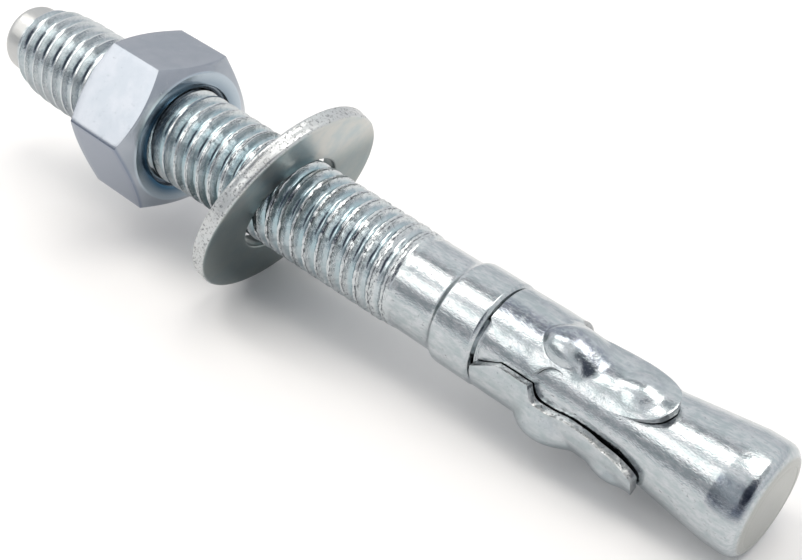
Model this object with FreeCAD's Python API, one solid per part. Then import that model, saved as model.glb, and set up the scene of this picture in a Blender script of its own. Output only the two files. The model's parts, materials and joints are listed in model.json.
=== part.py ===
import FreeCAD, Part
import os
import math

os.makedirs("parts", exist_ok=True)

# Wedge anchor, 1/2 inch by 4 1/2 inches, zinc plated steel: a threaded stud with a tapered end,
# a stamped expansion clip rolled round its reduced neck, a flat washer and a hex nut.
# Everything is built along the stud's own axis, which is local X from the thread end to the
# tapered end. Angles round the axis are in degrees from local up (+Z) towards -Y.
# At the end the whole anchor is laid down on z = 0, on the washer's rim and the tapered end.

# Stud: stations along the axis and radii, mm
LENGTH = 114.3            # 4 1/2 inches overall
BAND_R = 6.35             # 1/2 inch across, the size of the drilled hole
DOG_R = 4.55              # plain point in front of the thread
DOG_EDGE = 1.3            # rounding of the point's outer edge
DOG_END = 3.3             # where the thread begins to rise
LEAD_R = 5.25             # radius of the first, unfilled thread turn
LEAD_X = 3.9
LEAD_MID_R = 5.95
LEAD_MID_X = 6.2
THREAD_R = BAND_R - 0.15  # outside of the rolled thread
FULL_X = 9.5              # thread is full from here
FULL_END_X = 20.0         # the free end of the thread, in front of the nut, keeps its full size
TAPER_X = 32.6            # the rolled crests grow lower towards the shank
TAPER_R = THREAD_R - 0.05
TAPER_MID_X = 48.0
TAPER_MID_R = THREAD_R - 0.22
RUNOUT_R = THREAD_R - 0.38
SHANK_R = THREAD_R - 0.65
COLLAR_R = BAND_R - 0.20
COLLAR_EDGE = 0.35        # bevel at the collar's far edge
NECK_R = BAND_R - 1.50    # reduced neck that carries the clip
CONE_END_R = BAND_R - 0.08
END_EDGE = 1.6            # large rounding of the tapered end
SEAM_TURN = 3.53          # keeps the turned surfaces' seam off the line that the stud lies on

# The working end keeps its size on a longer or shorter stud: its stations run back from the end.
BAND_X = LENGTH - 3.7
CONE_END_X = BAND_X - 0.6
CONE_LENGTH = 10.3
CONE_X = CONE_END_X - CONE_LENGTH
NECK_LENGTH = 18.2
COLLAR_END = CONE_X - NECK_LENGTH
COLLAR_LENGTH = 5.1
COLLAR_X = COLLAR_END - COLLAR_LENGTH
RISE_X = COLLAR_X - 1.0   # short rise up to the collar
SHANK_LENGTH = 4.8
SHANK_X = RISE_X - SHANK_LENGTH
RUNOUT_X = SHANK_X - 3.0

# Hex nut
NUT_AF = 18.7             # across flats
NUT_H = 10.9
NUT_X = 20.95             # face nearest the thread end
NUT_FACE_R = 8.45         # circle left by the corner chamfer
NUT_CHAMFER = 30.0        # degrees
NUT_TURN = 17.75          # angle of one corner
NUT_PLAY = 0.03           # least radial play on the thread's outside
NUT_SINK = 0.65           # depth and width of the countersinks

# Flat washer
WASHER_R = 13.4
WASHER_HOLE_R = 6.9
WASHER_T = 2.0
WASHER_X = 48.6           # its centre on the axis
WASHER_LEAN = 18.0        # top leans towards the tapered end
WASHER_EDGE = 0.4         # rounding of its outer edges

# Expansion clip
SHEET_T = 1.0
CLIP_GAP = 0.4                    # from the collar
CLIP_X = COLLAR_END + CLIP_GAP
CLIP_LENGTH = 21.3
CLIP_PLAY = 0.2                   # radial, on the neck
CLIP_R = NECK_R + CLIP_PLAY       # inside of the rolled band
CLIP_FLARE = 0.5                  # how far the bore opens on its way to just past the tip
FLARE_LINE = [(0.0, 0.0), (0.582, 0.0), (0.723, 0.24), (0.911, 0.64), (1.0376, 1.0)]
LOBES = [13.5, 124.0, 248.75]     # centre of each lobe, the seam lies between the first two
SEAM = 65.3                       # middle of the open seam
BUMP_X = CLIP_X + 8.7             # tall bump near the root of each lobe
BUMP_HALF = 3.6
BUMP_RISE = 2.6
BUMP_TOP_R = CLIP_R + SHEET_T + 1.25
DIMPLE_X = CLIP_X + 17.4          # shallow dimple near the tip of each lobe
DIMPLE_HALF = 3.2
DIMPLE_RISE = 2.4
DIMPLE_TOP_R = CLIP_R + SHEET_T + 0.65


def around(angle):
    """Unit vector square to the axis at an angle round it."""
    a = math.radians(angle)
    return FreeCAD.Vector(0, -math.sin(a), math.cos(a))


def along(angle):
    """Unit vector of growing angle, square to around(angle)."""
    a = math.radians(angle)
    return FreeCAD.Vector(0, -math.cos(a), -math.sin(a))


def at(x, r):
    """Point of a profile that is turned about the axis."""
    return FreeCAD.Vector(x, 0, r)


def turned(edges):
    """Solid of revolution about the axis from a closed run of profile edges."""
    face = Part.Face(Part.Wire(edges))
    return face.revolve(FreeCAD.Vector(0, 0, 0), FreeCAD.Vector(1, 0, 0), 360)


def run(points):
    """Straight edges through a list of points."""
    return [Part.makeLine(p, q) for p, q in zip(points[:-1], points[1:])]


def rounding(x, r, size, first, steps=4):
    """Points of a quarter circle about (x, r), clockwise from the first angle, in a few steps."""
    turns = [math.radians(first - 90.0 * k / steps) for k in range(steps + 1)]
    return [at(x + size * math.cos(a), r + size * math.sin(a)) for a in turns]


def curve(points):
    """One smooth edge through a list of points."""
    spline = Part.BSplineCurve()
    spline.interpolate(points)
    return spline.toShape()


# Stud: one turned profile, with the thread as its plain outside envelope.
dog_round = rounding(DOG_EDGE, DOG_R - DOG_EDGE, DOG_EDGE, 180)
end_round = rounding(LENGTH - END_EDGE, BAND_R - END_EDGE, END_EDGE, 90, 6)
stud = turned(run([at(0, 0)] + dog_round + [
    at(DOG_END, DOG_R), at(LEAD_X, LEAD_R), at(LEAD_MID_X, LEAD_MID_R),
    at(FULL_X, THREAD_R), at(FULL_END_X, THREAD_R), at(TAPER_X, TAPER_R), at(TAPER_MID_X, TAPER_MID_R),
    at(RUNOUT_X, RUNOUT_R), at(SHANK_X, SHANK_R), at(RISE_X, SHANK_R), at(COLLAR_X, COLLAR_R),
    at(COLLAR_END - COLLAR_EDGE, COLLAR_R), at(COLLAR_END, COLLAR_R - COLLAR_EDGE),
    at(COLLAR_END, NECK_R), at(CONE_X, NECK_R), at(CONE_END_X, CONE_END_R),
    at(BAND_X, BAND_R)] + end_round + [at(LENGTH, 0), at(0, 0)]))
stud.rotate(FreeCAD.Vector(0, 0, 0), FreeCAD.Vector(1, 0, 0), SEAM_TURN)

# Hex nut: a hexagonal prism, its corners cut back by a 30 degree cone on both faces.
corner_r = NUT_AF / math.sqrt(3)
hex_points = [around(NUT_TURN + 60 * k) * corner_r + FreeCAD.Vector(NUT_X, 0, 0) for k in range(7)]
prism = Part.Face(Part.makePolygon(hex_points)).extrude(FreeCAD.Vector(NUT_H, 0, 0))
nut_cut = (corner_r + 0.5 - NUT_FACE_R) * math.tan(math.radians(NUT_CHAMFER))
blank = turned(run([
    at(NUT_X, 0), at(NUT_X, NUT_FACE_R), at(NUT_X + nut_cut, corner_r + 0.5),
    at(NUT_X + NUT_H - nut_cut, corner_r + 0.5), at(NUT_X + NUT_H, NUT_FACE_R),
    at(NUT_X + NUT_H, 0), at(NUT_X, 0)]))
nut_bore = THREAD_R + NUT_PLAY
bore = turned(run([
    at(NUT_X - 1, 0), at(NUT_X - 1, nut_bore + NUT_SINK + 1), at(NUT_X + NUT_SINK, nut_bore),
    at(NUT_X + NUT_H - NUT_SINK, nut_bore), at(NUT_X + NUT_H + 1, nut_bore + NUT_SINK + 1),
    at(NUT_X + NUT_H + 1, 0), at(NUT_X - 1, 0)]))
hex_nut = prism.common(blank).cut(bore)

# Flat washer: punched ring with rounded outer edges, leaning on the thread.
half_t = WASHER_T / 2
far_edge = rounding(half_t - WASHER_EDGE, WASHER_R - WASHER_EDGE, WASHER_EDGE, 90, 4)
near_edge = rounding(WASHER_EDGE - half_t, WASHER_R - WASHER_EDGE, WASHER_EDGE, 180, 4)
washer = turned(run(
    [at(-half_t, WASHER_HOLE_R)] + near_edge + far_edge + [at(half_t, WASHER_HOLE_R), at(-half_t, WASHER_HOLE_R)]))
lean = FreeCAD.Rotation(FreeCAD.Vector(0, 1, 0), WASHER_LEAN)
washer.Placement = FreeCAD.Placement(FreeCAD.Vector(WASHER_X, 0, 0), lean)

# Expansion clip: steel sheet rolled to an open ring, straight near the collar and flaring a
# little towards its tip to ride on the taper. Its outside is made first, with the bumps on it.
inner = [at(CLIP_X + CLIP_LENGTH * share, CLIP_R + CLIP_FLARE * rise) for share, rise in FLARE_LINE]
outer = [at(point.x, point.z + SHEET_T) for point in inner]
clip = turned(run([at(CLIP_X, 0)] + outer + [at(outer[-1].x, 0), at(CLIP_X, 0)]))
clip.rotate(FreeCAD.Vector(0, 0, 0), FreeCAD.Vector(1, 0, 0), SEAM)
clip_bore = turned(run([
    at(CLIP_X - 1, 0), at(CLIP_X - 1, inner[0].z)] + inner[1:] + [
    at(inner[-1].x + 1, inner[-1].z), at(inner[-1].x + 1, 0), at(CLIP_X - 1, 0)]))


def spindle(half, rise):
    """Pointed body of revolution about local X, half long each way and rise in radius."""
    radius = (half ** 2 + rise ** 2) / (2 * rise)
    steps = [half * (k / 3 - 1) for k in range(7)]
    dome = [at(x, math.sqrt(radius ** 2 - x ** 2) - radius + rise) for x in steps]
    dome[0] = at(-half, 0)
    dome[-1] = at(half, 0)
    return turned(run(dome + dome[:1]))


# Bumps and dimples are pressed out from inside: each hollow is smaller by the sheet's thickness.
hollows = [clip_bore]
for lobe in LOBES:
    for x, half, rise, top in [
            (BUMP_X, BUMP_HALF, BUMP_RISE, BUMP_TOP_R), (DIMPLE_X, DIMPLE_HALF, DIMPLE_RISE, DIMPLE_TOP_R)]:
        middle = FreeCAD.Vector(x, 0, 0) + around(lobe) * (top - rise)
        dome_r = (half ** 2 + rise ** 2) / (2 * rise)
        hollow_half = math.sqrt((dome_r - SHEET_T) ** 2 - (dome_r - rise) ** 2)
        bump = spindle(half, rise)
        bump.translate(middle)
        clip = clip.fuse(bump)
        hollow = spindle(hollow_half, rise - SHEET_T)
        hollow.translate(middle)
        hollows.append(hollow)
for hollow in hollows:
    clip = clip.cut(hollow)

# Outline of a lobe from its root to just past its tip: share of the clip's length and half angle
# from the middle of the lobe. The two cuts of a lobe overlap at the tip.
LOBE_EDGE = [
    (0.347, 38.0), (0.380, 31.0), (0.423, 28.0), (0.469, 28.6), (0.512, 31.8), (0.559, 34.2),
    (0.634, 35.6), (0.737, 35.4), (0.826, 31.5), (0.901, 25.8), (0.958, 18.5), (0.988, 9.0),
    (1.0, 0.0), (0.988, -9.0)]
SEAM_SIDE_EDGE = [
    (0.343, 47.5), (0.366, 39.5), (0.404, 36.0), (0.465, 36.0), (0.531, 39.0), (0.596, 40.3),
    (0.690, 40.0), (0.784, 35.5), (0.869, 29.0), (0.934, 21.5), (0.981, 11.0), (1.0, 0.0),
    (0.988, -9.0)]
PAST_TIP = 1.108
LOBE_HALF = 38.0


def pattern_cutter(lobe, side, corners, edge_points, reach):
    """Radial punch that removes the sheet beside one edge of a lobe."""
    middle = lobe + side * LOBE_HALF

    def place(share, half_angle):
        turn = math.radians(lobe + side * half_angle - middle)
        foot = FreeCAD.Vector(CLIP_X + CLIP_LENGTH * share, 0, 0) + around(middle) * (NECK_R * 0.6)
        return foot + along(middle) * ((CLIP_R + SHEET_T) * math.sin(turn))

    edge = [place(share, half_angle) for share, half_angle in edge_points]
    start = [place(share, half_angle) for share, half_angle in corners]
    far = edge_points[-1][1]
    back = [edge[-1], place(PAST_TIP, far), place(PAST_TIP, reach), place(corners[0][0], reach), start[0]]
    wire = Part.Wire(run(start + [edge[0]]) + [curve(edge)] + run(back))
    return Part.Face(wire).extrude(around(middle) * BUMP_TOP_R)


# The window over the open seam has its own corners: the rolled ends are bevelled towards the
# collar and stand 12.5 degrees apart. The other windows start from a straight root.
OVERLAP = 3.0
back_gap = (360.0 - LOBES[2] + LOBES[0]) / 2
far_gap = (LOBES[2] - LOBES[1]) / 2
upper_end = [(-0.042, 12.0), (0.141, 45.5), (0.329, 45.5)]
lower_end = [(-0.042, 29.0), (0.141, 52.5), (0.329, 52.5)]
window_root = [(0.333, 43.0)]
cutters = [
    pattern_cutter(LOBES[0], 1, upper_end, LOBE_EDGE, SEAM - LOBES[0] + OVERLAP),
    pattern_cutter(LOBES[1], -1, lower_end, SEAM_SIDE_EDGE, LOBES[1] - SEAM + OVERLAP)]
for lobe, side, half in [
        (LOBES[0], -1, back_gap), (LOBES[2], 1, back_gap), (LOBES[2], -1, far_gap), (LOBES[1], 1, far_gap)]:
    cutters.append(pattern_cutter(lobe, side, window_root, LOBE_EDGE, half + OVERLAP))
clip = clip.cut(cutters)

# The anchor lies on the rounded far edge of the leaning washer and on the tapered end. Of the
# lines from the washer's edge that touch the end's rounding, the steepest gives the slope.
lean_rad = math.radians(WASHER_LEAN)
corners = []
for edge_point in far_edge:
    corner_x = WASHER_X - edge_point.z * math.sin(lean_rad) + edge_point.x * math.cos(lean_rad)
    corner_z = -edge_point.z * math.cos(lean_rad) - edge_point.x * math.sin(lean_rad)
    corners.append((corner_x, corner_z))
tip_x = LENGTH - END_EDGE
tip_z = -(BAND_R - END_EDGE)
slopes = []
for corner_x, corner_z in corners:
    distance = math.hypot(tip_x - corner_x, tip_z - corner_z)
    slopes.append(math.atan2(tip_z - corner_z, tip_x - corner_x) - math.asin(END_EDGE / distance))
slope = max(slopes)
rim_x, rim_z = corners[slopes.index(slope)]
lift = rim_x * math.sin(slope) - rim_z * math.cos(slope)
# Ends of the sloping stud along world X, from the roundings of its two ends.
first_x = DOG_EDGE * math.cos(slope) - (DOG_R - DOG_EDGE) * math.sin(slope) - DOG_EDGE
last_x = tip_x * math.cos(slope) - tip_z * math.sin(slope) + END_EDGE
shift = -(first_x + last_x) / 2
lay = FreeCAD.Placement(
    FreeCAD.Vector(shift, 0, lift),
    FreeCAD.Rotation(FreeCAD.Vector(0, 1, 0), math.degrees(slope)))
print("slope deg", math.degrees(slope), "shift", shift, "lift", lift)

pieces = {"stud": stud, "hex_nut": hex_nut, "washer": washer, "expansion_clip": clip}
for name, shape in pieces.items():
    laid = shape.copy()
    laid.Placement = lay.multiply(laid.Placement)
    solids = laid.Solids
    print(name, "solids", len(solids), "valid", laid.isValid(), "volume", round(laid.Volume, 1))
    solids[0].exportStep("parts/" + name + ".step")
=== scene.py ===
# %% [markdown]
# # A zinc plated wedge anchor
# A wedge anchor is a steel stud that is hammered into a drilled hole. Turning the nut draws the
# tapered end into the clip, and the clip presses against the hole. The packed model gives every
# piece its size and place. Here each piece gets the detail of the real one: the rolled thread, the
# punched washer, the chamfered nut, the stamped clip, and bright zinc on all of them.

# %% The frame
import json
import math

import bmesh
import bpy
import numpy as np
from mathutils import Matrix, Vector


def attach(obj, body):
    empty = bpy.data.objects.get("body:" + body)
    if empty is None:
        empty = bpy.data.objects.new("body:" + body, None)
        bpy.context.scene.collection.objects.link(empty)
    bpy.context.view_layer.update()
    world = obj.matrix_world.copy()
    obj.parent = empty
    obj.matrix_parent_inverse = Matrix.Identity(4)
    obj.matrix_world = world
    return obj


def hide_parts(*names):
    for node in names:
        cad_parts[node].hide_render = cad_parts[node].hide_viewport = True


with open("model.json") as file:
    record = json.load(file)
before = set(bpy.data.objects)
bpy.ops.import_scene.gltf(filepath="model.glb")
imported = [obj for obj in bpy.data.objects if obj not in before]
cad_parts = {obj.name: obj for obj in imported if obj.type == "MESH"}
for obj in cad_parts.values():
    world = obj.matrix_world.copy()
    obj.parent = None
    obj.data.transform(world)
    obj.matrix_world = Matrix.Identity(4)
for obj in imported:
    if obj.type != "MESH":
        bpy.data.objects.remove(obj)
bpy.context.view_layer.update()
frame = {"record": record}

# %% [markdown]
# ## Where the stud lies
# The anchor lies on the rim of its washer and on its tapered end, so the stud slopes. All its
# pieces are turned about the stud's axis, and it is easiest to shape them in the stud's own terms:
# a station along it, an angle round it and a radius. The nut's hinge in the record lies on that
# axis, so the slope is read from there and is not typed in again.

# %% The stud's own directions
MM = 0.001
HINGE_STATION = 26.4                      # where along the stud the nut's hinge stands, in mm

hinge = next(j for j in frame["record"]["behaviour"]["joints"] if j["name"] == "nut_turn")
ALONG = np.array(hinge["axis"]) / np.linalg.norm(hinge["axis"])
UP = np.array([-ALONG[2], 0.0, ALONG[0]])
SIDE = np.array([0.0, -1.0, 0.0])
THREAD_END = np.array(hinge["pos_m"]) - ALONG * HINGE_STATION * MM


def on_stud(station, angle, radius):
    """Points in metres from stations, angles from straight up in degrees, and radii, in mm."""
    station, angle, radius = np.broadcast_arrays(station, np.radians(angle), radius)
    out = np.cos(angle)[..., None] * UP + np.sin(angle)[..., None] * SIDE
    return THREAD_END + (station[..., None] * ALONG + radius[..., None] * out) * MM


print("the stud dips", round(math.degrees(math.asin(-ALONG[2])), 2), "degrees")

# %% [markdown]
# ## Skins over a lattice
# A lathe, a thread and a rolled sheet are all rows of points with faces between neighbours. One
# helper turns such rows into a mesh and welds the points that fall on each other: the seam of a
# turned piece, and the rows of a thread that run out at its ends. Edges sharper than a given angle
# stay crisp and the rest is shaded smooth. Another puts the result of modifiers into the mesh.

# %% Lattice to mesh
WELD, SLIVER = 0.0008, 0.0004             # in mm: nearer points are one; shorter edges go


def lattice(points):
    """Vertices and faces of one grid of points, as flat lists."""
    rows, columns = points.shape[:2]
    index = np.arange(rows * columns).reshape(rows, columns)
    corners = [index[:-1, :-1], index[1:, :-1], index[1:, 1:], index[:-1, 1:]]
    return points.reshape(-1, 3), np.stack([c.ravel() for c in corners], axis=1)


def make_piece(name, grids, crisp=35.0):
    """One welded, smooth-shaded object from several grids that share their edges."""
    points, faces, start = [], [], 0
    for grid in grids:
        grid_points, grid_faces = lattice(grid)
        points.append(grid_points)
        faces.append(grid_faces + start)
        start += len(grid_points)
    mesh = bpy.data.meshes.new(name)
    mesh.from_pydata(np.concatenate(points).tolist(), [], np.concatenate(faces).tolist())
    mesh.materials.append(None)
    shape = bmesh.new()
    shape.from_mesh(mesh)
    bmesh.ops.remove_doubles(shape, verts=shape.verts, dist=WELD * MM)
    bmesh.ops.dissolve_degenerate(shape, dist=SLIVER * MM, edges=shape.edges)
    bmesh.ops.recalc_face_normals(shape, faces=shape.faces)
    shape.to_mesh(mesh)
    shape.free()
    piece = bpy.data.objects.new(name, mesh)
    bpy.context.scene.collection.objects.link(piece)
    finish_shading(piece, crisp)
    return piece


def finish_shading(piece, crisp):
    piece.data.shade_smooth()
    piece.data.set_sharp_from_angle(angle=math.radians(crisp))


print("a lattice of 3 by 4 points has", len(lattice(np.zeros((3, 4, 3)))[1]), "faces")

# %% Eased edges, settled modifiers and a little unevenness
def ease_edges(piece, name, width, segments, sharper_than):
    """Bevels the edges sharper than an angle in degrees; the width is in mm."""
    eased = piece.modifiers.new(name, "BEVEL")
    eased.width = width * MM
    eased.segments = segments
    eased.limit_method = "ANGLE"
    eased.angle_limit = math.radians(sharper_than)


def settle(piece):
    """Puts the result of a piece's modifiers into its mesh."""
    shown = piece.evaluated_get(bpy.context.evaluated_depsgraph_get())
    mesh = bpy.data.meshes.new_from_object(shown)
    piece.modifiers.clear()
    piece.data = mesh


def ripple(first, second, seed=0.0):
    """A small repeatable unevenness between about -1 and 1, for rough edges."""
    waves = np.sin(first * 1.0 + 2.1 * np.sin(second * 0.7 + seed))
    waves = waves + np.sin(second * 1.3 + 1.7 * np.sin(first * 0.61 - seed))
    return (waves + np.sin(first * 2.3 - second * 1.9 + seed * 3.0)) / 3.0


print("ripple at 1, 2 and 3:", np.round(ripple(np.array([1.0, 2.0, 3.0]), 0.0), 2))

# %% [markdown]
# ## The thread
# A rolled thread is pressed, not cut: the blank's metal flows up between wide smooth hollows, and
# each crest is where two flows meet. Near the free end the crests are narrow and full. Towards the
# shank they fall lower and wider, and a fine split is left down the middle of each. A lathe with a
# bump map would leave a straight outline, so the lattice itself winds: its rows follow the helix,
# which keeps every crest crisp with few points.

# %% Values of the thread
PITCH = 25.4 / 13                         # 13 turns to the inch
COLUMNS = 120                             # points round the stud
THREAD_FROM, THREAD_TO = 3.3, 70.6        # stations where it rises and where it has run out
CREST_STATION, CREST_ANGLE = 8.37, 45.0   # one crest, as it faces the viewer
HELIX_START = CREST_STATION - PITCH * CREST_ANGLE / 360.0

# Each of these is a line: stations along the stud, and the value at each station.
CREST_LINE = ([3.3, 3.9, 6.2, 9.5, 20.0, 32.6, 48.0, 67.6, 70.6],
              [4.55, 5.22, 5.93, 6.19, 6.19, 6.14, 5.97, 5.81, 5.55])
ROOT_LINE = ([3.3, 4.2, 6.5, 9.5, 60.0, 66.0, 69.0, 70.6],
             [4.55, 4.62, 4.95, 5.14, 5.16, 5.22, 5.40, 5.55])
CREST_HALF = ([3.3, 12.0, 32.0, 66.0], [0.045, 0.06, 0.11, 0.17])
SPLIT_DEPTH = ([12.0, 34.0, 66.0], [0.0, 0.08, 0.30])
RAGGED = ([12.0, 34.0, 50.0], [0.05, 0.14, 0.30])
WORN = ([20.0, 50.0, 66.0, 70.6], [0.0, 0.012, 0.022, 0.0])

VALLEY_STEPS = [0.08, 0.24, 0.42, 0.62, 0.82, 1.0]
HOLLOW_CURVE = 2.6                        # above 1 the hollow is wide and the crest stands up
SPLIT_SHARE, WORN_SHARE = 0.3, 1.2        # parts of the crest's half width that each takes


def profile_rows():
    """Rows across one tooth: from the valley before it, over its crest, to the valley after."""
    before = [(-1, step) for step in reversed(VALLEY_STEPS[:-1])]
    after = [(1, step) for step in VALLEY_STEPS]
    return before + [(-1, None), (0, 0.0), (1, None)] + after


print("pitch", round(PITCH, 4), "mm, rows a turn:", len(profile_rows()))

# %% Rows that follow the helix
def winding(first, last, hand_radius, first_angle=0.0):
    """A grid whose rows follow the right-hand helix between two stations."""
    turn = first_angle / 360.0 + np.linspace(0.0, 1.0, COLUMNS + 1)
    lowest = math.floor((first - HELIX_START) / PITCH) - 2
    highest = math.ceil((last - HELIX_START) / PITCH) + 2
    rows = []
    for tooth in range(lowest, highest + 1):
        for side, step in profile_rows():
            middle = HELIX_START + PITCH * (tooth + turn)
            uneven = 1.0 + np.interp(middle, *RAGGED) * ripple(turn * 95.0, middle * 3.0, 0.7)
            half = np.interp(middle, *CREST_HALF) * uneven
            share = side * half if step is None else side * (half + step * (0.5 - half))
            station = np.clip(middle + share * PITCH, first, last)
            angle = turn * 360.0
            rows.append(on_stud(station, angle, hand_radius(station, share, half, angle)))
    return np.array(rows)


def crest_share(share, half):
    """How high between root and crest: 1 on the crest, and a wide smooth hollow beside it."""
    down = np.clip((np.abs(share) - half) / (0.5 - half), 0.0, 1.0)
    return (1.0 - down) ** HOLLOW_CURVE


def stud_thread_radius(station, share, half, angle):
    crest = np.interp(station, *CREST_LINE)
    root = np.interp(station, *ROOT_LINE)
    split = np.interp(station, *SPLIT_DEPTH) * (np.abs(share) < half * SPLIT_SHARE)
    split = split * (0.6 + 0.4 * ripple(angle * 0.17, station * 2.0, 1.9))
    rough = np.interp(station, *WORN) * ripple(angle * 0.4, station * 5.0)
    rough = rough * (np.abs(share) < half * WORN_SHARE)
    return root + (crest - root) * crest_share(share, half) - split * (crest - root) - np.abs(rough)


print("turns of thread:", round((THREAD_TO - THREAD_FROM) / PITCH, 1))

# %% [markdown]
# ## The stud
# The rest of the stud is turned: a plain point in front of the thread, which keeps hammer blows off
# it, a short shank, the collar that stops the clip, the neck that the clip sits on, and the taper.
# Its profile is a list of stations and radii with the small roundings that a real tool leaves,
# since those are what catch the light. The flat ends are closed by rings that shrink to the middle.

# %% Turned parts of the stud
def quarter(station, radius, size, first, steps=8):
    """A rounding of the profile: a quarter circle in small steps, from an angle, clockwise."""
    angles = np.radians(first - 90.0 * np.arange(steps + 1) / steps)
    return [(station + size * math.cos(a), radius + size * math.sin(a)) for a in angles]


def turned(profile):
    """A grid of rings from a profile of stations and radii."""
    angles = np.linspace(0.0, 360.0, COLUMNS + 1)
    return np.array([on_stud(station, angles, radius) for station, radius in profile])


POINT = [(0.0, 0.0), (0.0, 1.6), (0.02, 3.0)] + quarter(1.3, 3.25, 1.3, 180.0) + [
    (2.4, 4.55), (3.1, 4.55), (THREAD_FROM, 4.55)]
SHANK = [(THREAD_TO, 5.55), (72.0, 5.55), (73.6, 5.55), (74.9, 5.55), (75.3, 5.57), (75.6, 5.64),
         (75.85, 5.76), (76.05, 5.90), (76.2, 6.01), (76.4, 6.09)]
COLLAR = [(76.7, 6.135), (77.2, 6.15), (79.0, 6.15), (81.0, 6.15), (81.13, 6.145), (81.2, 6.10),
          (81.45, 5.85), (81.49, 5.80), (81.5, 5.72), (81.5, 4.98)]
NECK = [(81.54, 4.90), (81.65, 4.86), (82.0, 4.85), (86.0, 4.85), (90.0, 4.85), (94.0, 4.85),
        (98.0, 4.85), (99.4, 4.855), (99.9, 4.875)]
TAPER = [(102.0, 5.167), (104.0, 5.443), (106.0, 5.718), (108.0, 5.994), (109.7, 6.228),
         (110.0, 6.262), (110.25, 6.30), (110.6, 6.34), (111.6, 6.35)]
END = quarter(112.7, 4.75, 1.6, 90.0, 6) + [
    (114.3, 4.66), (114.285, 4.58), (114.24, 4.50), (114.255, 4.40), (114.29, 4.28), (114.3, 4.1),
    (114.3, 2.8), (114.3, 1.4), (114.3, 0.0)]
print("the stud is", END[-1][0] - POINT[0][0], "mm long")

# %% The stud
stud = make_piece("threaded_stud", [
    turned(POINT), winding(THREAD_FROM, THREAD_TO, stud_thread_radius),
    turned(SHANK + COLLAR + NECK + TAPER + END)])
print("stud:", len(stud.data.vertices), "points,", len(stud.data.polygons), "faces")

# %% [markdown]
# ## The nut
# A hex nut is a slice of hexagonal bar. Both its faces are turned with a 30 degree cone, which cuts
# the corners back and leaves a curved edge on each flat. Bending a hexagon's outline column by
# column gives that curve exactly: each column knows how far out its flat is, and so at what depth
# the cone meets it. A small bevel afterwards stands for the tumbled edges. Inside are a countersink
# at each face and the thread's grooves.

# %% Values of the nut
NUT_NEAR, NUT_FAR = 20.95, 31.85          # stations of its two faces
NUT_HEIGHT = NUT_FAR - NUT_NEAR
NUT_FLAT = 18.7 / 2                       # from the axis to a flat
NUT_CORNER_ANGLE = 17.75
NUT_FACE = 8.45                           # radius of the circle that the cone leaves on a face
CONE_DEPTH = math.tan(math.radians(30.0))
CONE_PARTS = [0.35, 0.7, 1.0]
BORE, GROOVE, SINK = 6.25, 0.62, 0.62     # bore's radius, its grooves' depth, the countersinks'
GROOVE_STOP, GROOVE_FADE = 0.8, 0.5       # how far from a face the grooves end, and how softly
FACE_RINGS = [(SINK, BORE), (0.3, 6.55), (0.05, 6.82), (0.0, 6.95), (0.0, 7.7), (0.0, NUT_FACE)]

nut_angles = NUT_CORNER_ANGLE + np.linspace(0.0, 360.0, COLUMNS + 1)
from_flat = (nut_angles - NUT_CORNER_ANGLE) % 60.0 - 30.0
hexagon = NUT_FLAT / np.cos(np.radians(from_flat))
cone = (hexagon - NUT_FACE) * CONE_DEPTH
print("the cone reaches", round(float(cone.max()), 2), "mm down each corner")

# %% The outside of the nut
def nut_ring(depth, radius):
    return on_stud(NUT_NEAR + depth, nut_angles, radius)


def out_along_cone(part):
    return NUT_FACE + (hexagon - NUT_FACE) * part


near_rings = [nut_ring(depth, radius) for depth, radius in FACE_RINGS]
near_rings += [nut_ring(cone * part, out_along_cone(part)) for part in CONE_PARTS]
wall_rings = [nut_ring(cone + (NUT_HEIGHT - 2 * cone) * part, hexagon)
              for part in np.linspace(0.0, 1.0, 9)]
far_rings = [nut_ring(NUT_HEIGHT - cone * part, out_along_cone(part))
             for part in reversed(CONE_PARTS)]
far_rings += [nut_ring(NUT_HEIGHT - depth, radius) for depth, radius in reversed(FACE_RINGS)]

nut = make_piece("anchor_nut", [np.array(near_rings + wall_rings + far_rings)])
print("nut:", len(nut.data.polygons), "faces outside")

# %% The nut's bore, and one mesh of the two
def nut_groove_radius(station, share, half, angle):
    from_face = np.minimum(station - NUT_NEAR - GROOVE_STOP, NUT_FAR - GROOVE_STOP - station)
    return BORE + GROOVE * crest_share(share, half) * np.clip(from_face / GROOVE_FADE, 0.0, 1.0)


bore = make_piece("nut_bore", [
    winding(NUT_NEAR + SINK, NUT_FAR - SINK, nut_groove_radius, NUT_CORNER_ANGLE)])
nut_mesh = bmesh.new()
for part in (nut, bore):
    nut_mesh.from_mesh(part.data)
bmesh.ops.remove_doubles(nut_mesh, verts=nut_mesh.verts, dist=0.02 * MM)
bmesh.ops.recalc_face_normals(nut_mesh, faces=nut_mesh.faces)
nut_mesh.to_mesh(nut.data)
nut_mesh.free()
bpy.data.objects.remove(bore)
ease_edges(nut, "tumbled_edges", 0.16, 3, 24)
settle(nut)
finish_shading(nut, 30)
print("nut:", len(nut.data.polygons), "faces with its bore")

# %% [markdown]
# ## The washer
# A flat washer is punched out of sheet in one blow. The punch first shears the steel, which leaves
# a smooth bright band round the rim, and then tears it, which leaves a rough dull band beside it.
# The outer edges are a little rounded, by the blow and by tumbling. The section is turned like the
# stud's, but about an axis that leans, and the torn band is roughened point by point.

# %% Values of the washer
WASHER_STATION, WASHER_LEAN = 48.6, math.radians(18.0)
RING_RADIUS, HOLE_RADIUS, HALF_SHEET = 13.4, 6.9, 1.0
EDGE_ROUND = 0.4
RING_COLUMNS = 320

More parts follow.
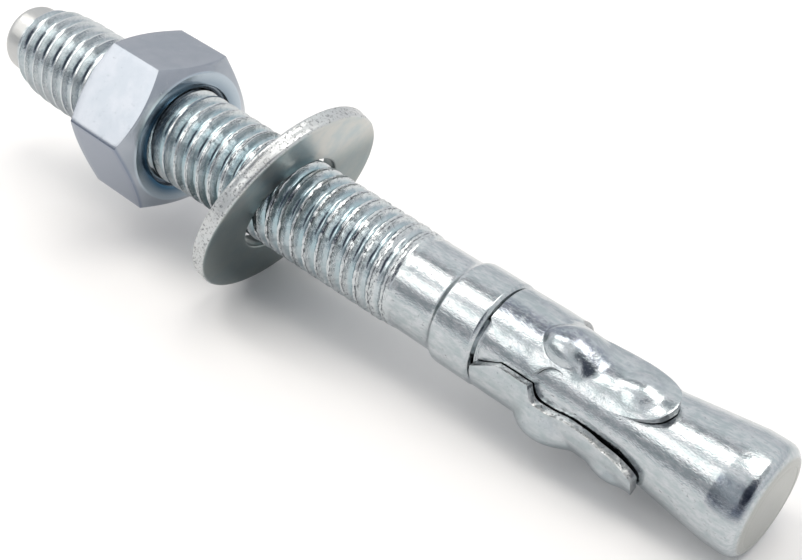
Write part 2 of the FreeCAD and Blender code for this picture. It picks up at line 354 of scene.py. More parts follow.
ring_normal = ALONG * math.cos(WASHER_LEAN) - UP * math.sin(WASHER_LEAN)
ring_up = ALONG * math.sin(WASHER_LEAN) + UP * math.cos(WASHER_LEAN)
ring_middle = THREAD_END + ALONG * WASHER_STATION * MM
ring_angles = np.linspace(0.0, 2 * math.pi, RING_COLUMNS + 1)
print("the washer's middle, in mm:", np.round(ring_middle / MM, 2))

# %% The washer
def ring_row(depth, radius, torn=0.0):
    """One circle of the washer; torn is how far the punch tore it back, in mm."""
    circle = np.concatenate([ring_angles[:-1], ring_angles[:1]])
    bite = ripple(circle * 33.0 + 3.0 * depth, circle * 7.0 + 9.0 * depth, 1.3)
    reach = (radius - torn * (0.5 + 0.5 * bite)) * MM
    out = np.cos(circle)[:, None] * ring_up + np.sin(circle)[:, None] * SIDE
    return ring_middle + depth * MM * ring_normal + reach[:, None] * out


near_face = [(-HALF_SHEET, radius) for radius in (HOLE_RADIUS, 8.5, 10.5, 12.2)]
near_edge = quarter(EDGE_ROUND - HALF_SHEET, RING_RADIUS - EDGE_ROUND, EDGE_ROUND, 180.0, 4)
rim = [(depth, RING_RADIUS, torn) for depth, torn in (
    (-0.45, 0.06), (-0.25, 0.11), (-0.05, 0.10), (0.15, 0.05), (0.35, 0.02))]
far_edge = quarter(HALF_SHEET - EDGE_ROUND, RING_RADIUS - EDGE_ROUND, EDGE_ROUND, 90.0, 4)
far_face = [(HALF_SHEET, radius) for radius in (12.2, 10.5, 8.5, 7.15)]
hole = [(0.97, 7.02), (0.88, 6.94)] + [
    (depth, HOLE_RADIUS) for depth in (0.75, 0.2, -0.3, -HALF_SHEET)]
section = near_face + near_edge + rim + far_edge + far_face + hole
washer = make_piece("flat_washer", [np.array([ring_row(*point) for point in section])], crisp=40)
print("washer:", len(washer.data.polygons), "faces")

# %% [markdown]
# ## The expansion clip
# The clip is one stamping: a strip with three lobes is cut from 1 mm sheet, a tall bump and a
# shallow dimple are pressed into every lobe, and the strip is rolled round the neck until its two
# bevelled ends nearly meet. It is made the same way here. First comes the middle surface of the
# sheet as lattices, a band and three lobes that share their edge points, with the bumps already in
# its radius. A Solidify modifier then gives it its thickness, and a small bevel eases the edges.

# %% Values of the clip
SHEET = 1.0
BAND_START, LOBE_ROOT, SHOULDER = 81.9, 88.95, 97.6
GAP_SIDE = 43.0                           # half the angle of a lobe at its root
LOBES = [124.0, 248.75, 373.5]            # middle of each lobe, from the open seam round to it
DENTS = 0.022                             # unevenness of the rolled sheet
MIDDLE_LINE = ([81.9, 94.3, 97.3, 101.3, 104.0], [5.55, 5.55, 5.67, 5.87, 6.05])

# Sides of a lobe: stations, and the angle from its middle to its edge.
PLAIN_SIDE = ([88.95, 89.3, 90.0, 90.9, 91.9, 92.8, 93.8, 95.4, 97.6],
              [GAP_SIDE, 38.0, 31.0, 28.0, 28.6, 31.8, 34.2, 35.6, 35.4])
UPPER_SEAM_SIDE = (PLAIN_SIDE[0], [45.5] + PLAIN_SIDE[1][1:])
LOWER_SEAM_SIDE = ([88.95, 89.2, 89.7, 90.5, 91.8, 93.2, 94.6, 96.6, 97.6],
                   [52.5, 47.5, 39.5, 36.0, 36.0, 39.0, 40.3, 40.0, 38.2])

# Tips of a lobe: shares of the way from its middle to its edge, and the station of its end.
PLAIN_TIP = ([0.0, 0.254, 0.523, 0.729, 0.89, 1.0], [103.2, 102.95, 102.3, 101.1, 99.5, 97.6])
BLUNT_TIP = (PLAIN_TIP[0], [102.4, 102.3, 101.8, 100.9, 99.5, 97.6])
SEAM_TIP = ([0.0, 0.35, 0.6, 0.76, 0.87, 0.95, 1.0],
            [102.4, 102.7, 102.7, 102.1, 101.0, 99.5, 97.6])

# The band's two bevelled ends at the open seam: stations and angles.
UPPER_END = ([81.9, 84.6, 84.9, 88.95], [19.8, 42.9, 45.5, 45.5])
LOWER_END = ([81.9, 84.6, 84.9, 88.95], [34.4, 50.7, 52.5, 52.5])
print("lobes from", LOBE_ROOT, "to", PLAIN_TIP[1][0], "mm along the stud")

# %% [markdown]
# ## Bumps pressed into the sheet
# A punch pushes the sheet out from inside. On the real clip a tall bump has a crisp rim on the side
# of the collar and fades into the lobe on the other side, while the dimple near the tip is lower
# and even all round. The crisp rim is a spindle that rises through the sheet, the gentle side is a
# low bell, and the two are blended by where a point lies. Everything is a radius, so nothing folds.

# %% Spindle, bell and the radius of the sheet
BUMP = (90.6, 3.6, 2.6, 7.36, 0.26)       # station, half length, rise, top and softness, in mm
DIMPLE = (99.3, 3.5, 2.6, 6.78, 0.30)
BELL_HEIGHT, BELL_LENGTH = 1.30, 4.6      # in mm
BELL_TURN, BELL_CURVE = 36.0, 1.7         # in degrees, and how fast it dies away
DEEPEST = 0.6                             # how far below the sheet a bump's foot still pulls on it


def pressed(plain, station, aside, middle, half, rise, top, soft):
    """Lifts the sheet over a spindle-shaped bump; soft is how gently the sheet leaves it."""
    spindle = (half ** 2 + rise ** 2) / (2 * rise)
    across = np.clip(spindle ** 2 - (station - middle) ** 2, 0.0, None)
    thick = np.clip(np.sqrt(across) - (spindle - rise) - SHEET / 2, 0.0, None)
    foot = top - rise
    turn = np.radians(np.clip(aside, -80.0, 80.0))
    inside = thick ** 2 - (foot * np.sin(turn)) ** 2
    lifted = foot * np.cos(turn) + np.sqrt(np.clip(inside, 0.0, None))
    gap = np.minimum(np.where(inside > 0, plain - lifted, DEEPEST), DEEPEST)
    eased = 0.5 * (np.sqrt(gap ** 2 + soft ** 2) - gap)
    return plain + eased - 0.5 * (np.sqrt(DEEPEST ** 2 + soft ** 2) - DEEPEST)


def bell(station, aside):
    """A bump that dies away gently into the sheet round it."""
    out = ((station - BUMP[0]) / BELL_LENGTH) ** 2 + (aside / BELL_TURN) ** 2
    return BELL_HEIGHT * np.clip(1.0 - out, 0.0, 1.0) ** BELL_CURVE


def sheet_radius(station, angle):
    """Radius of the sheet's middle, with a crisp near rim and a gentle far side on each bump."""
    plain = np.interp(station, *MIDDLE_LINE)
    radius = plain
    for lobe in LOBES:
        aside = (angle - lobe + 180.0) % 360.0 - 180.0
        away = np.clip((station - 89.2) / 3.2 - aside / 40.0, 0.0, 1.0)
        away = away * away * (3.0 - 2.0 * away)
        bump = pressed(plain, station, aside, *BUMP)
        bump = bump + (plain + bell(station, aside) - bump) * away
        dimple = pressed(plain, station, aside, *DIMPLE)
        on_lobe = np.abs(aside) < 55.0
        radius = np.where(on_lobe, np.maximum(radius, np.maximum(bump, dimple)), radius)
    return radius + DENTS * ripple(angle * 0.13, station * 1.1, 2.0)


bump_top = float(sheet_radius(BUMP[0], LOBES[1]))
print("a bump stands", round(bump_top - MIDDLE_LINE[1][0], 2), "mm proud")

# %% Lobes of the clip
def smooth_line(places, values, at):
    """A curve without corners through a list of points."""
    places, values = np.array(places), np.array(values)
    slopes = np.gradient(values, places)
    step = np.diff(values) / np.diff(places)
    slopes[np.concatenate([[False], step[:-1] * step[1:] <= 0.0, [False]])] = 0.0
    which = np.clip(np.searchsorted(places, at, side="right") - 1, 0, len(places) - 2)
    width = places[which + 1] - places[which]
    t = np.clip((at - places[which]) / width, 0.0, 1.0)
    left = (1 + 2 * t) * (1 - t) ** 2 * values[which] + t * (1 - t) ** 2 * width * slopes[which]
    right = t * t * (3 - 2 * t) * values[which + 1] - t * t * (1 - t) * width * slopes[which + 1]
    return left + right


def lobe_columns(count=40):
    return np.sin(np.linspace(-math.pi / 2, math.pi / 2, count + 1))


def lobe_angles(station, share, lobe_number):
    """Angle of each column of a lobe: its share of the way from the middle to the edge."""
    before = LOWER_SEAM_SIDE if lobe_number == 0 else PLAIN_SIDE
    after = UPPER_SEAM_SIDE if lobe_number == 2 else PLAIN_SIDE
    reach = np.where(share < 0, smooth_line(*before, station), smooth_line(*after, station))
    return LOBES[lobe_number] + share * reach


def lobe_grid(lobe_number):
    """One lobe: straight rows as far as its shoulder, then rows that curve into its tip."""
    share = lobe_columns()
    before, after = (SEAM_TIP, BLUNT_TIP) if lobe_number == 0 else (PLAIN_TIP, PLAIN_TIP)
    out = np.abs(share)
    ends = np.where(share < 0, smooth_line(*before, out), smooth_line(*after, out))
    stations = [np.full_like(share, station) for station in np.concatenate([
        np.arange(LOBE_ROOT, 95.0, 0.17), np.linspace(95.0, SHOULDER, 10)])]
    angles = [lobe_angles(station, share, lobe_number) for station in stations]
    for part in np.linspace(0.0, 1.0, 19)[1:]:
        stations.append(SHOULDER + (ends - SHOULDER) * part)
        angles.append(angles[-1])
    return np.array([on_stud(*row, sheet_radius(*row)) for row in zip(stations, angles)])


lobe_grids = [lobe_grid(number) for number in range(3)]
print("rows and columns of a lobe:", lobe_grids[0].shape[:2])

# %% The band of the clip
def band_grid():
    """The rolled band, with the columns of the lobes and of the gaps between them."""
    rows = []
    share = lobe_columns()
    for station in np.concatenate([
            np.linspace(BAND_START, 86.6, 12), np.linspace(86.75, LOBE_ROOT, 15)]):
        turns = []
        for number in range(3):
            before = np.interp(station, *LOWER_END) if number == 0 else GAP_SIDE
            after = np.interp(station, *UPPER_END) if number == 2 else GAP_SIDE
            turns.append(LOBES[number] + share * np.where(share < 0, before, after))
            if number < 2:
                gap = np.linspace(LOBES[number] + GAP_SIDE, LOBES[number + 1] - GAP_SIDE, 12)
                turns.append(gap[1:-1])
        angles = np.concatenate(turns)
        rows.append(on_stud(station, angles, sheet_radius(station, angles)))
    return np.array(rows)


band = band_grid()
print("rows and columns of the band:", band.shape[:2])

# %% The clip
clip = make_piece("expansion_clip_sheet", [band] + lobe_grids)
clip.data.materials.append(None)
thick = clip.modifiers.new("sheet_thickness", "SOLIDIFY")
thick.thickness = SHEET * MM
thick.offset = 0.0
thick.use_even_offset = True
thick.material_offset_rim = 1             # the cut edges wear their own finish
ease_edges(clip, "eased_edges", 0.10, 2, 55)
settle(clip)
finish_shading(clip, 38)
print("clip:", len(clip.data.polygons), "faces")

# %% [markdown]
# ## Writing materials as sums
# A material is a web of nodes, and a web is hard to read. Wrapping one socket in a small class lets
# the usual signs build the Math nodes, so a finish reads as an expression. One method makes every
# other node: its settings go in first, because they can change which sockets it has.

# %% One socket that can be reckoned with
class Tone:
    """A socket of a material, used in sums as if it were a number."""

    def __init__(self, tree, socket=None):
        self.tree = tree
        self.socket = socket

    def node(self, kind, settings=None, sockets=None, out=0):
        made = self.tree.nodes.new(kind)
        for name, value in (settings or {}).items():
            if name == "stops":
                stops = made.color_ramp.elements
                stops.remove(stops[-1])
                stops[0].position, stops[0].color = value[0]
                for place, color in value[1:]:
                    stops.new(place).color = color
            else:
                setattr(made, name, value)
        for name, value in (sockets or {}).items():
            if isinstance(value, Tone):
                self.tree.links.new(value.socket, made.inputs[name])
            else:
                made.inputs[name].default_value = value
        return Tone(self.tree, made.outputs[out])

    def reckon(self, operation, first, second=0.0):
        return self.node("ShaderNodeMath", {"operation": operation}, {0: first, 1: second})

    def __add__(self, other):
        return self.reckon("ADD", self, other)

    def __radd__(self, other):
        return self.reckon("ADD", other, self)

    def __sub__(self, other):
        return self.reckon("SUBTRACT", self, other)

    def __rsub__(self, other):
        return self.reckon("SUBTRACT", other, self)

    def __mul__(self, other):
        return self.reckon("MULTIPLY", self, other)

    def __rmul__(self, other):
        return self.reckon("MULTIPLY", other, self)

    def __pow__(self, other):
        return self.reckon("POWER", self, other)

    def part_along(self, direction):
        """How far a place lies along a direction."""
        return self.node("ShaderNodeVectorMath", {"operation": "DOT_PRODUCT"},
                         {0: self, 1: tuple(direction)}, "Value")

    def between(self, low, high):
        """0 below one value, 1 above another, and a soft step between them."""
        return self.node("ShaderNodeMapRange", {"interpolation_type": "SMOOTHSTEP"},
                         {"Value": self, "From Min": low, "From Max": high})

    def mixed(self, first, second):
        """The first colour where this is 0 and the second where it is 1."""
        return self.node("ShaderNodeMix", {"data_type": "RGBA"}, {0: self, 6: first, 7: second}, 2)


print("a tone knows:", ", ".join(name for name in vars(Tone) if not name.startswith("_")))

# %% [markdown]
# ## Places on the anchor
# Zinc plate follows the metal under it: drawn and turned steel is streaked along the stud, and
# rolled hollows keep a bluish film. So each finish needs to know the station, the radius and the
# side it is on. Those come from the object's own coordinates and three directions. Noise that is
# read from a place shortened along the stud gives streaks. A painted picture would need the surface
# laid out flat, while these places fit every piece as it is.

# %% Station, radius and noise that runs along the stud
def bare_finish(name):
    """A material with a metal shader and nothing else."""
    finish = bpy.data.materials.new(name)
    finish.use_nodes = True
    shader = finish.node_tree.nodes["Principled BSDF"]
    shader.inputs["Metallic"].default_value = 1.0
    return finish, shader, Tone(finish.node_tree)


def own_directions(tone):
    """Station along the stud, two parts across it and the radius, all in millimetres."""
    place = tone.node("ShaderNodeTexCoord", {}, {}, "Object")
    station, across, upward = [
        (place.part_along(way) - float(THREAD_END @ way)) * 1000.0 for way in (ALONG, SIDE, UP)]
    return station, across, upward, (across * across + upward * upward) ** 0.5


def noise_along(tone, where, lengthwise, scale, detail=3.0, roughness=0.55):
    """Noise in which the stud's length counts less or more, so it runs along or round it."""
    station, across, upward = where[:3]
    place = tone.node("ShaderNodeCombineXYZ", {}, {
        "X": station * lengthwise, "Y": across, "Z": upward})
    return tone.node("ShaderNodeTexNoise", {}, {
        "Vector": place, "Scale": scale, "Detail": detail, "Roughness": roughness})


print("the thread's free end, in mm:", np.round(THREAD_END / MM, 2))

# %% Layers of colour, and the shader's sockets
def layered(colour, layers):
    """Lays colours over one: each layer is a mask, how strongly it covers, and its colour."""
    for mask, strength, over in layers:
        colour = (mask * strength).mixed(colour, over)
    return colour


def connect(tone, shader, **values):
    """Feeds the shader's sockets; a name's underscore stands for a space."""
    for name, value in values.items():
        tone.tree.links.new(value.socket, shader.inputs[name.replace("_", " ")])


def bumped(tone, height, depth_mm, strength):
    return tone.node("ShaderNodeBump", {}, {
        "Height": height, "Distance": depth_mm * MM, "Strength": strength})


# Colours of the plating.
BRIGHT = (0.53, 0.56, 0.585, 1.0)
MILKY = (0.39, 0.445, 0.465, 1.0)
BLUISH = (0.18, 0.245, 0.285, 1.0)
PITTED = (0.05, 0.06, 0.075, 1.0)
print("brightest and darkest zinc:", BRIGHT[:3], PITTED[:3])

# %% [markdown]
# ## Zinc on the stud
# The plating is bright but not a mirror: it is a little milky where the drawn steel under it was
# rough, and fine dark pits line up along the stud. The hollows of the thread are bluish, less so
# near the free end, and the crests are bare and bright, with chips and a line of painted shade down
# the middle, in the fine crease of the lap. The tapered end has one painted dark reflection near
# its face. The lap's crease is finer than the faces of the mesh, so its painted shade is reckoned
# from the helix that the lattice also follows.

# %% Values of the stud's finish
IN_HOLLOWS = (0.31, 0.43, 0.475, 1.0)
ON_CRESTS = (0.66, 0.69, 0.70, 1.0)
ON_POINT = (0.50, 0.50, 0.49, 1.0)
# The next colour is a painted dark reflection on the tapered end.
END_DARK_REFLECTION = (0.09, 0.11, 0.15, 1.0)
WARM = (0.40, 0.405, 0.38, 1.0)

# Noise: how much the stud's length counts in it, then its scale, detail and roughness. A small
# first number gives streaks along the stud, and one above 1 gives marks that run round it.
STREAKS = (0.30, 2.4, 5.0, 0.6)
CLOUDS = (1.0, 0.45, 3.0, 0.55)
FINE = (0.5, 3.0, 4.0, 0.6)
PITS = (0.28, 7.5, 4.0, 0.65)
GRAIN = (0.6, 7.0, 2.0, 0.6)
LAPPED = (2.8, 2.4, 4.0, 0.7)

# Stations between which something comes or goes.
POINT_ENDS = (2.9, 3.5)
TINT_GROWS = (15.0, 34.0)
CHIPPED_CRESTS = (18.0, 50.0)
LAPPED_CRESTS = (24.0, 46.0)
CRESTS_FALL, FALLEN_BY = (48.0, 71.0), 0.32
THREAD_ENDS = (69.0, 70.8)
# The tapered end's painted dark reflection lies between the next two pairs of stations.
END_REFLECTION_STARTS, END_REFLECTION_ENDS = (109.8, 110.2), (113.4, 114.1)
END_FACE = (114.0, 114.25)

# Radii, once the fall of the crests is made up for.
CREST_TOP, CREST_SIDE, HOLLOW_TO_CREST = (5.75, 5.9), (5.6, 5.85), (5.25, 5.95)
LAP_HALF = (0.02, 0.06)                   # half the lap line's width, in turns of the helix
LAP_WANDER = 0.10
print("lap lines from", LAPPED_CRESTS[0], "to", LAPPED_CRESTS[1], "mm")

# %% The stud's finish
def lap_crease_shade(tone, where, streak):
    """1 on the painted shade of the lap's crease down the middle of a crest, and 0 beside it."""
    station, across, upward = where[:3]
    turn = tone.reckon("ARCTAN2", across, upward) * (0.5 / math.pi)
    teeth = (station - HELIX_START) * (1.0 / PITCH) - turn + 0.5 + (streak - 0.5) * LAP_WANDER
    off = tone.reckon("ABSOLUTE", tone.reckon("FRACT", teeth) - 0.5)
    return 1.0 - off.between(*LAP_HALF)


def stud_zinc():
    finish, shader, tone = bare_finish("zinc_on_drawn_steel")
    where = own_directions(tone)
    station, across, upward, radius = where
    streak, cloud, fine, pit, grain, lapped = [
        noise_along(tone, where, *kind) for kind in (STREAKS, CLOUDS, FINE, PITS, GRAIN, LAPPED)]
    threaded = 1.0 - station.between(*THREAD_ENDS)
    height = radius + station.between(*CRESTS_FALL) * FALLEN_BY
    point = 1.0 - station.between(*POINT_ENDS)
    face = station.between(*END_FACE)

    pits = pit.between(0.57, 0.68) * streak.between(0.42, 0.60) * (1.0 - threaded)
    crest = height.between(*CREST_TOP) * threaded * station.between(*CHIPPED_CRESTS)
    chips = crest * lapped.between(0.54, 0.64)
    hollow = (1.0 - height.between(*HOLLOW_TO_CREST)) * threaded
    tinted = hollow * (0.3 + 0.7 * station.between(*TINT_GROWS))
    # A line of painted shade in the lap's fine crease down the middle of each crest.
    painted_lap_shade = lap_crease_shade(tone, where, streak) * threaded * station.between(*LAPPED_CRESTS)
    # A painted dark reflection on one side of the tapered end, mottled a little by the clouds.
    end_reflection = station.between(*END_REFLECTION_STARTS) * (1.0 - station.between(*END_REFLECTION_ENDS))
    end_reflection = end_reflection * across.between(3.6, 4.6) * upward.between(1.2, 2.9)

    plating = (streak * 0.75 + cloud * 0.25).between(0.36, 0.62).mixed(MILKY, BRIGHT)
    colour = layered(plating, [
        (tinted * (0.4 + 0.5 * cloud.between(0.35, 0.65)), 1.0, IN_HOLLOWS),
        (height.between(*CREST_SIDE) * threaded, 0.5, ON_CRESTS),
        (chips, 0.65, PITTED),
        (painted_lap_shade * lapped.between(0.40, 0.55), 0.9, PITTED),
        (point, 0.8, ON_POINT),
        (end_reflection * (0.6 + 0.4 * cloud.between(0.42, 0.56)), 0.9, END_DARK_REFLECTION),
        (face, 0.8, WARM),
        (pits * (1.0 - face), 0.75, PITTED)])
    rough = 0.08 + streak * 0.14 + pits * 0.2 + face * 0.2 + point * 0.22 + chips * 0.2
    height_map = streak * 0.5 + fine + grain * 0.6 + pit * 0.3 + cloud * 1.5 - chips * 0.6
    connect(tone, shader, Base_Color=colour, Roughness=rough,
            Normal=bumped(tone, height_map, 0.03, 0.7))
    return finish


stud_finish = stud_zinc()
print(stud_finish.name, "has", len(stud_finish.node_tree.nodes), "nodes")

# %% [markdown]
# ## Zinc on the nut
# The nut's flats keep the smooth skin of the bar, even and a little blue, with a few milky specks.
# The low flat on the near side is darker, as painted shade. The turned face towards the washer is
# paler, and painted shade darkens it to blue round its bore. Each of these could be a material of
# its own on its faces, but a mask from station and radius also gives the soft change between them.

# %% The nut's finish
NUT_BLUE, NUT_PALE = (0.32, 0.355, 0.40, 1.0), (0.35, 0.38, 0.425, 1.0)
# A painted shade colour, for the low flat that faces the floor on the near side.
LOW_FLAT_SHADE = (0.18, 0.215, 0.285, 1.0)
ON_TURNED_FACE = (0.44, 0.51, 0.57, 1.0)
# A painted shade colour, for the turned face round its bore.
BORE_SHADE = (0.035, 0.10, 0.17, 1.0)
LOW_FLAT_ANGLE = math.radians(107.75)     # which way the low flat faces, from straight up


def nut_zinc():
    finish, shader, tone = bare_finish("zinc_on_the_nut")
    where = own_directions(tone)
    station, across, upward, radius = where
    cloud = noise_along(tone, where, 1.0, 0.30, 2.0)
    grain = noise_along(tone, where, 0.5, 5.0, 3.0, 0.6)
    speck = noise_along(tone, where, 1.0, 2.2, 3.0, 0.6).between(0.64, 0.72)
    towards_flat = across * math.sin(LOW_FLAT_ANGLE) + upward * math.cos(LOW_FLAT_ANGLE)
    turned_face = station.between(31.65, 31.8)
    # Painted shade: the turned face darkens round its bore, more on the near side.
    bore_shade_mask = (1.0 - radius.between(6.9, 8.5)) * turned_face

    plating = cloud.between(0.35, 0.65).mixed(NUT_BLUE, NUT_PALE)
    colour = layered(plating, [
        # painted shade on the low flat
        (towards_flat.between(8.9, 9.3), 0.8, LOW_FLAT_SHADE),
        (turned_face, 0.9, ON_TURNED_FACE),
        (bore_shade_mask * (0.35 + 0.65 * across.between(-3.0, 5.0)), 1.0, BORE_SHADE),
        (speck, 0.25, MILKY)])
    connect(tone, shader, Base_Color=colour, Roughness=0.13 + grain * 0.08 + speck * 0.10,
            Normal=bumped(tone, grain * 0.25 + speck * 0.5, 0.02, 0.4))
    return finish


nut_finish = nut_zinc()
print(nut_finish.name, "has", len(nut_finish.node_tree.nodes), "nodes")

# %% [markdown]
# ## Zinc on the washer
# The washer's faces are milky sheet, with painted shade that darkens them towards the floor. Its
# rim is brighter, and the torn part of it is dark and rough. Tumbling leaves no direction, so its
# noise isn't stretched. The rim is found by how far a place lies from the washer's own middle,
# since the washer leans on the stud.

# %% The washer's finish
SHEET_COOL, SHEET_WARM = (0.42, 0.48, 0.49, 1.0), (0.54, 0.545, 0.52, 1.0)
# A painted shade colour, for the faces towards the floor.
LOW_FACE_SHADE = (0.13, 0.17, 0.175, 1.0)
ON_RIM = (0.57, 0.59, 0.60, 1.0)
RIM_STARTS = (13.22, 13.34)               # radii from the washer's own middle


def washer_zinc():
    finish, shader, tone = bare_finish("zinc_on_punched_steel")
    where = own_directions(tone)
    upward = where[2]
    cloud = noise_along(tone, where, 1.0, 0.3)
    grain = noise_along(tone, where, 1.0, 4.0, 4.0, 0.6)
    place = tone.node("ShaderNodeTexCoord", {}, {}, "Object")
    from_middle = tone.node("ShaderNodeVectorMath", {"operation": "SUBTRACT"},
                            {0: place, 1: tuple(ring_middle)})
    outward = tone.node("ShaderNodeVectorMath", {"operation": "LENGTH"},
                        {0: from_middle}, "Value") * 1000.0
    on_rim = outward.between(*RIM_STARTS)
    torn = noise_along(tone, where, 1.0, 3.4, 5.0, 0.7).between(0.52, 0.62) * on_rim

    plating = cloud.between(0.35, 0.65).mixed(SHEET_COOL, SHEET_WARM)
    colour = layered(plating, [
        # Painted shade: the faces darken towards the floor, but not on the rim.
        ((1.0 - upward.between(2.0, 8.0)) * (1.0 - on_rim), 0.75, LOW_FACE_SHADE),
        (on_rim, 0.8, ON_RIM),
        (torn, 0.65, PITTED)])
    connect(tone, shader, Base_Color=colour, Roughness=0.24 + grain * 0.16 + torn * 0.25,
            Normal=bumped(tone, grain * 0.5 + torn, 0.03, 0.5))
    return finish


washer_finish = washer_zinc()
print(washer_finish.name, "has", len(washer_finish.node_tree.nodes), "nodes")

# %% [markdown]
# ## Zinc on the clip
# The sheet was rolled, so its plating is streaked and slightly dented, bluish in clouds, with
# painted shade in bluish grey underneath, and with small dark specks. One painted dark reflection
# runs along the shoulder above the seam. The cut edges are another surface, sheared bright near the
# collar and grey where they tore, with a painted highlight on the side towards the light, so they
# wear a finish of their own: Solidify gives its new faces the second material.

# %% The clip's finish
# A painted dark reflection colour, for the shoulder above the seam.
SHOULDER_DARK_REFLECTION = (0.16, 0.18, 0.25, 1.0)


def clip_zinc():
    finish, shader, tone = bare_finish("zinc_on_the_clip")
    where = own_directions(tone)
    station, across, upward = where[:3]
    streak = noise_along(tone, where, 0.25, 1.6, 4.0, 0.6)
    cloud = noise_along(tone, where, 1.0, 0.6)
    speck = noise_along(tone, where, 1.0, 5.0, 4.0, 0.65).between(0.62, 0.74)
    dent = noise_along(tone, where, 1.0, 0.42, 2.0)
    fine = noise_along(tone, where, 0.6, 3.0, 4.0, 0.6)
    grain = noise_along(tone, where, 0.7, 7.0, 2.0, 0.6)
    # Painted dark reflection: a dark streak along the shoulder above the seam, fading towards the
    # tips.
    shoulder_reflection = across.between(-0.2, 1.0) * (1.0 - across.between(1.9, 2.7)) * upward.between(4.5, 5.2)
    shoulder_reflection = shoulder_reflection * (0.35 + 0.65 * fine.between(0.42, 0.56)) * (1.0 - station.between(93.0, 98.0))

    plating = (streak * 0.5 + cloud * 0.5).between(0.38, 0.62).mixed(MILKY, BRIGHT)
    colour = layered(plating, [
        (cloud.between(0.5, 0.7), 0.4, BLUISH),
        (shoulder_reflection, 0.6, SHOULDER_DARK_REFLECTION),
        # Painted shade: the underside turns bluish grey.
        (1.0 - upward.between(-5.5, -1.5), 0.4, BLUISH),
        (speck, 0.6, PITTED)])
    height_map = dent * 2.0 + streak * 0.6 + fine * 1.1 + grain * 0.5 + speck * 0.5
    connect(tone, shader, Base_Color=colour, Roughness=0.09 + streak * 0.13 + speck * 0.2,
            Normal=bumped(tone, height_map, 0.03, 0.7))
    return finish


clip_finish = clip_zinc()
print(clip_finish.name, "has", len(clip_finish.node_tree.nodes), "nodes")

# %% The cut edges' finish
# The sheared colour is near white: bright sheared steel with a painted highlight on it.
TORN_GREY, SHEARED_AND_GLINT = (0.40, 0.42, 0.43, 1.0), (0.90, 0.91, 0.91, 1.0)


def edge_zinc():
    finish, shader, tone = bare_finish("zinc_on_the_cut_edge")
    where = own_directions(tone)
    station, across = where[:2]
    torn = noise_along(tone, where, 1.0, 1.0, 4.0, 0.6)
    speck = noise_along(tone, where, 1.0, 4.0, 3.0, 0.6).between(0.58, 0.66)
    # Sheared edges near the collar, brightened as a painted highlight on the side towards the
    # light.
    sheared_and_lit = (1.0 - station.between(93.0, 97.0) * 0.7) * across.between(0.0, 4.0)
    plating = (torn.between(0.42, 0.52) * sheared_and_lit).mixed(TORN_GREY, SHEARED_AND_GLINT)
    colour = layered(plating, [(speck, 0.8, PITTED)])
    connect(tone, shader, Base_Color=colour, Roughness=0.24 + torn * 0.2,
            Normal=bumped(tone, torn * 3.0 + speck, 0.06, 0.8))
    return finish


edge_finish = edge_zinc()
print(edge_finish.name, "has", len(edge_finish.node_tree.nodes), "nodes")

# %% [markdown]
# ## Dressing the pieces
# Each piece now takes its finish, stands for its node of the packed model and rides on that node's
# body. So when the nut turns, the washer slides or the clip turns, its surface goes with it.

# %% Each piece in its place
for piece, finish, node, body in (
        (stud, stud_finish, "stud", "stud"), (nut, nut_finish, "hex_nut", "nut"),
        (washer, washer_finish, "washer", "washer"), (clip, clip_finish, "expansion_clip", "clip")):
    piece.data.materials[0] = finish
    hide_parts(node)
    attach(piece, body)
    print(piece.name, "stands for", node, "and wears", finish.name)
clip.data.materials[1] = edge_finish

# %% [markdown]
# ## The studio
# Bright metal shows its surroundings more than itself. Under an even white sky it would look flat,
# so the sky here is pale above and dimmer over the horizon. Three parts of it are darker: one side,
# a strip overhead, and the room behind the camera, which draw the dark streaks along the stud. Warm
# soft panels, with their length along the stud, draw the white ones. The floor is plain and pale,
# and lights the undersides.

# %% The floor
FLOOR_HALF = 3
FLOOR_GREY = (0.90, 0.90, 0.90, 1.0)

floor_mesh = bpy.data.meshes.new("pale_floor")
floor_mesh.from_pydata([(x * FLOOR_HALF, y * FLOOR_HALF, 0) for x, y in (
    (-1, -1), (1, -1), (1, 1), (-1, 1))], [], [(0, 1, 2, 3)])
floor = bpy.data.objects.new("pale_floor", floor_mesh)
bpy.context.scene.collection.objects.link(floor)
floor_finish, floor_shader, _ = bare_finish("pale_card")
floor_shader.inputs["Metallic"].default_value = 0.0
floor_shader.inputs["Base Color"].default_value = FLOOR_GREY
floor_shader.inputs["Roughness"].default_value = 0.8
floor_mesh.materials.append(floor_finish)
print("floor:", 2 * FLOOR_HALF, "m wide")

# %% The sky
SKY_STRENGTH = 1.08
SKY_RAMP = [                              # from the horizon up to overhead
    (0.0, (1.0, 1.0, 1.0, 1.0)), (0.06, (0.80, 0.80, 0.82, 1.0)), (0.25, (0.78, 0.78, 0.80, 1.0)),
    (0.60, (1.0, 1.0, 1.0, 1.0)), (0.78, (0.95, 0.95, 0.95, 1.0)), (1.0, (0.9, 0.9, 0.9, 1.0))]
DIM_SIDE, DIM_GREY = (-0.575, -0.818, 0.0), (0.08, 0.09, 0.10, 1.0)
ACROSS_STRIP, STRIP_GREY = (0.0, 0.97, -0.24), (0.12, 0.12, 0.15, 1.0)
ROOM_BEHIND, ROOM_BLUE = (0.537, -0.597, 0.596), (0.03, 0.04, 0.07, 1.0)

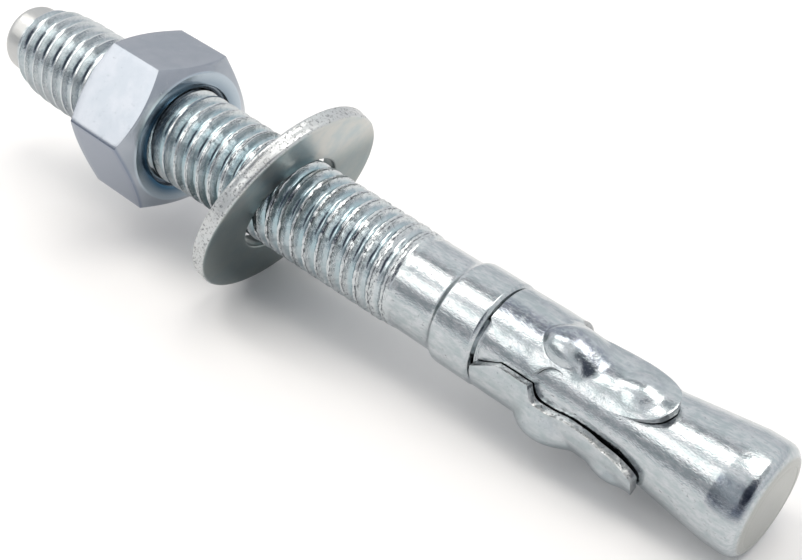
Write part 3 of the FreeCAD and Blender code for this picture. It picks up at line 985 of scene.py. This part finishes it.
sky = bpy.data.worlds.new("studio_sky")
bpy.context.scene.world = sky
sky.use_nodes = True
sky_tone = Tone(sky.node_tree)
direction = sky_tone.node("ShaderNodeTexCoord", {}, {}, "Generated")
height_up = direction.part_along((0.0, 0.0, 1.0))
shade = sky_tone.node("ShaderNodeValToRGB", {"stops": SKY_RAMP}, {"Fac": height_up})
dim_side = direction.part_along(DIM_SIDE).between(0.80, 0.92)
dim_side = dim_side * height_up.between(0.04, 0.14) * (1.0 - height_up.between(0.44, 0.54))
slant = direction.part_along(ACROSS_STRIP)
dark_strip = slant.between(-0.12, -0.02) * (1.0 - slant.between(0.05, 0.16))
shade = layered(shade, [
    (dim_side, 0.5, DIM_GREY),
    (dark_strip * height_up.between(0.5, 0.7), 0.7, STRIP_GREY),
    (direction.part_along(ROOM_BEHIND).between(0.80, 0.93), 0.95, ROOM_BLUE)])
background = sky.node_tree.nodes["Background"]
background.inputs["Strength"].default_value = SKY_STRENGTH
sky.node_tree.links.new(shade.socket, background.inputs["Color"])
print(sky.name, "has", len(sky.node_tree.nodes), "nodes")

# %% Soft panels
WARM_LIGHT = (1.0, 0.94, 0.87)
PANELS = [                                # name, place and size in metres, power in watts
    ("panel_narrow", (-0.369, -0.065, 0.576), (0.50, 0.19), 1.0),
    ("panel_wide", (-0.369, -0.395, 0.424), (0.50, 0.24), 0.53),
    ("panel_above", (0.15, 0.10, 0.70), (0.40, 0.40), 1.7)]


def soft_panel(name, place, size, watts):
    """A soft panel that faces the anchor, its length along the world's X."""
    light = bpy.data.lights.new(name, "AREA")
    light.shape = "RECTANGLE"
    light.size, light.size_y = size
    light.energy = watts
    light.color = WARM_LIGHT
    panel = bpy.data.objects.new(name, light)
    back = Vector(place).normalized()
    length = (Vector((1.0, 0.0, 0.0)) - back * back.x).normalized()
    panel.matrix_world = Matrix((length, back.cross(length), back)).transposed().to_4x4()
    panel.location = place
    bpy.context.scene.collection.objects.link(panel)


for panel_values in PANELS:
    soft_panel(*panel_values)

# %% [markdown]
# ## The camera
# Its place was worked out from the photograph: the nut's corners, the outline of the stud, the
# collar, the washer and the end face, all at the model's real size, fit one camera. It looks down
# by 36.6 degrees at the tapered end, which comes towards it.

# %% The camera
FOCAL_PX, IMAGE_WIDTH = 1394.4, 802
SENSOR_MM = 36.0
CAMERA_PLACE = (0.093176, -0.092826, 0.102257)
CAMERA_DIP, CAMERA_HEADING = 0.63832, 2.30356   # in radians

camera_data = bpy.data.cameras.new("camera")
camera_data.sensor_width = SENSOR_MM
camera_data.lens = FOCAL_PX / IMAGE_WIDTH * SENSOR_MM
camera_data.clip_start = 0.01
camera = bpy.data.objects.new("camera", camera_data)
camera.location = CAMERA_PLACE
camera.rotation_euler = (math.pi / 2 - CAMERA_DIP, 0.0, CAMERA_HEADING - math.pi / 2)
bpy.context.scene.collection.objects.link(camera)
bpy.context.scene.camera = camera
bpy.context.scene.view_settings.view_transform = "Standard"
print("lens", round(camera_data.lens, 2), "mm")
